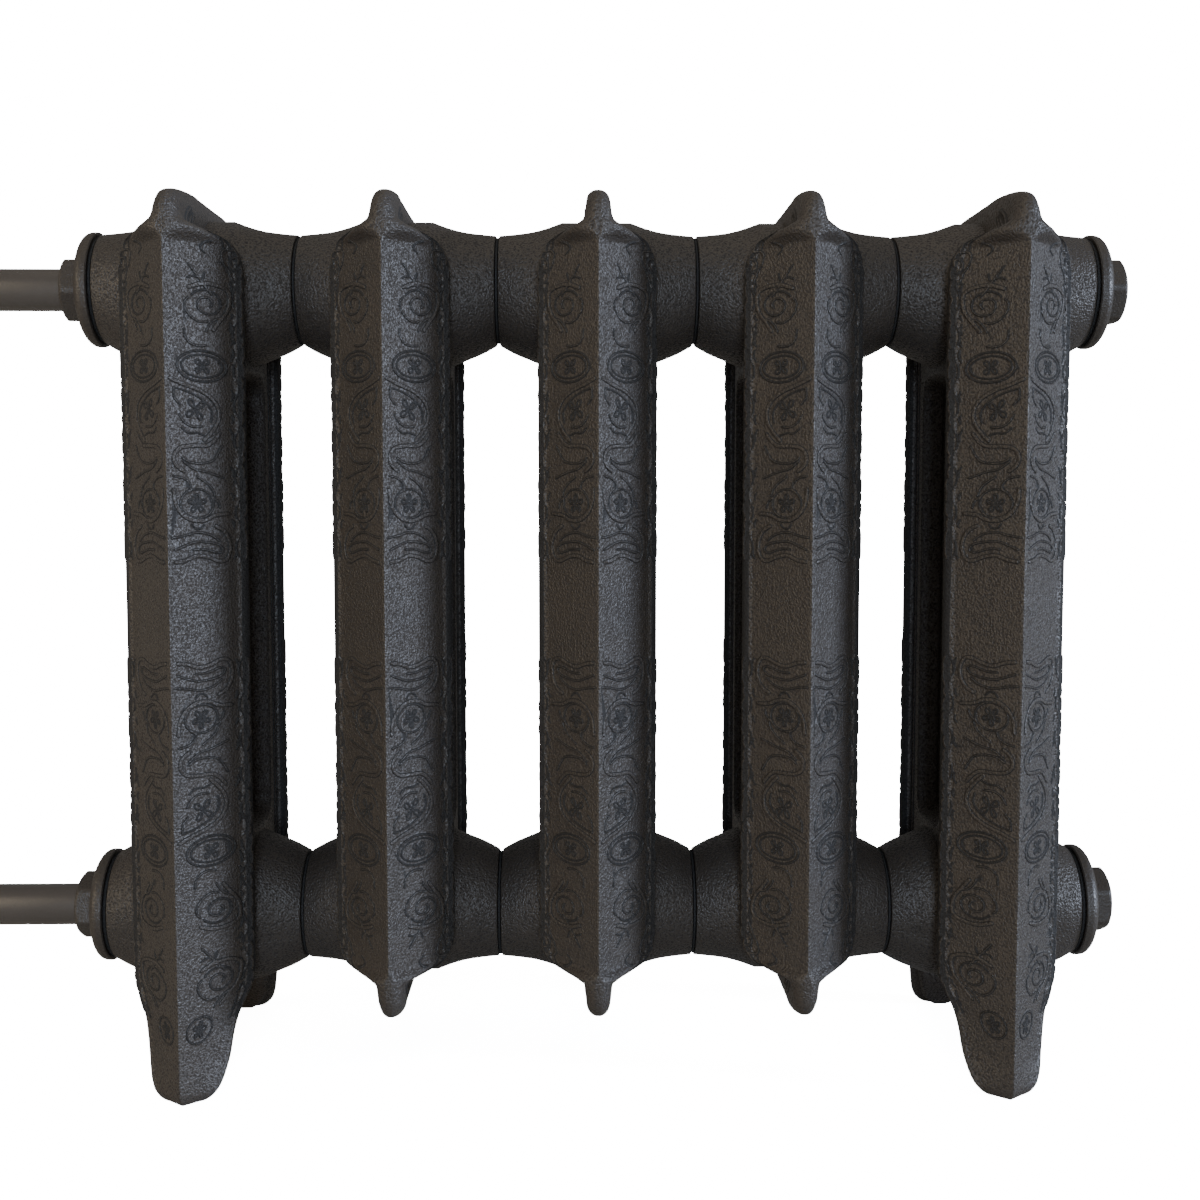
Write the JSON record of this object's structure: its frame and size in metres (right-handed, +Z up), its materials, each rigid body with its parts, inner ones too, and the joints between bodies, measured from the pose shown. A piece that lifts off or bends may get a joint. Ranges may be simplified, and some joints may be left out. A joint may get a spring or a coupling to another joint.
{
  "type": "cast iron radiator",
  "caption": "Ornate cast iron column radiator standing on its footed end sections, with pipe tails on one end and blank plugs on the other.",
  "frame": {"origin": "centre of the object's footprint, on the plane of the soles", "axes": "+Z up; +X along the row of sections, from the pipe tails towards the blank plugs; -Y is the front face seen in the picture"},
  "size_m": [0.574, 0.1486, 0.4153],
  "materials": {
    "iron_paint": "satin near-black paint over grainy cast iron",
    "fitting_paint": "satin near-black paint over turned iron",
    "bare_iron": "dark bare iron",
    "gasket": "matt black",
    "pipe_paint": "satin dark paint over steel pipe"
  },
  "bodies": {
    "root": {"end_section_left": "iron_paint", "middle_section_1": "iron_paint", "middle_section_2": "iron_paint", "middle_section_3": "iron_paint", "end_section_right": "iron_paint", "nipple_top_1": "bare_iron", "nipple_top_2": "bare_iron", "nipple_top_3": "bare_iron", "nipple_top_4": "bare_iron", "seam_gasket_top_1": "gasket", "seam_gasket_top_2": "gasket", "seam_gasket_top_3": "gasket", "seam_gasket_top_4": "gasket", "nipple_bottom_1": "bare_iron", "nipple_bottom_2": "bare_iron", "nipple_bottom_3": "bare_iron", "nipple_bottom_4": "bare_iron", "seam_gasket_bottom_1": "gasket", "seam_gasket_bottom_2": "gasket", "seam_gasket_bottom_3": "gasket", "seam_gasket_bottom_4": "gasket", "end_gasket_left_top": "gasket", "end_gasket_left_bottom": "gasket", "end_gasket_right_top": "gasket", "end_gasket_right_bottom": "gasket", "reducing_bushing_top": "fitting_paint", "blank_plug_top": "fitting_paint", "reducing_bushing_bottom": "fitting_paint", "blank_plug_bottom": "fitting_paint", "supply_pipe": "pipe_paint", "return_pipe": "pipe_paint"}
  },
  "joints": []
}
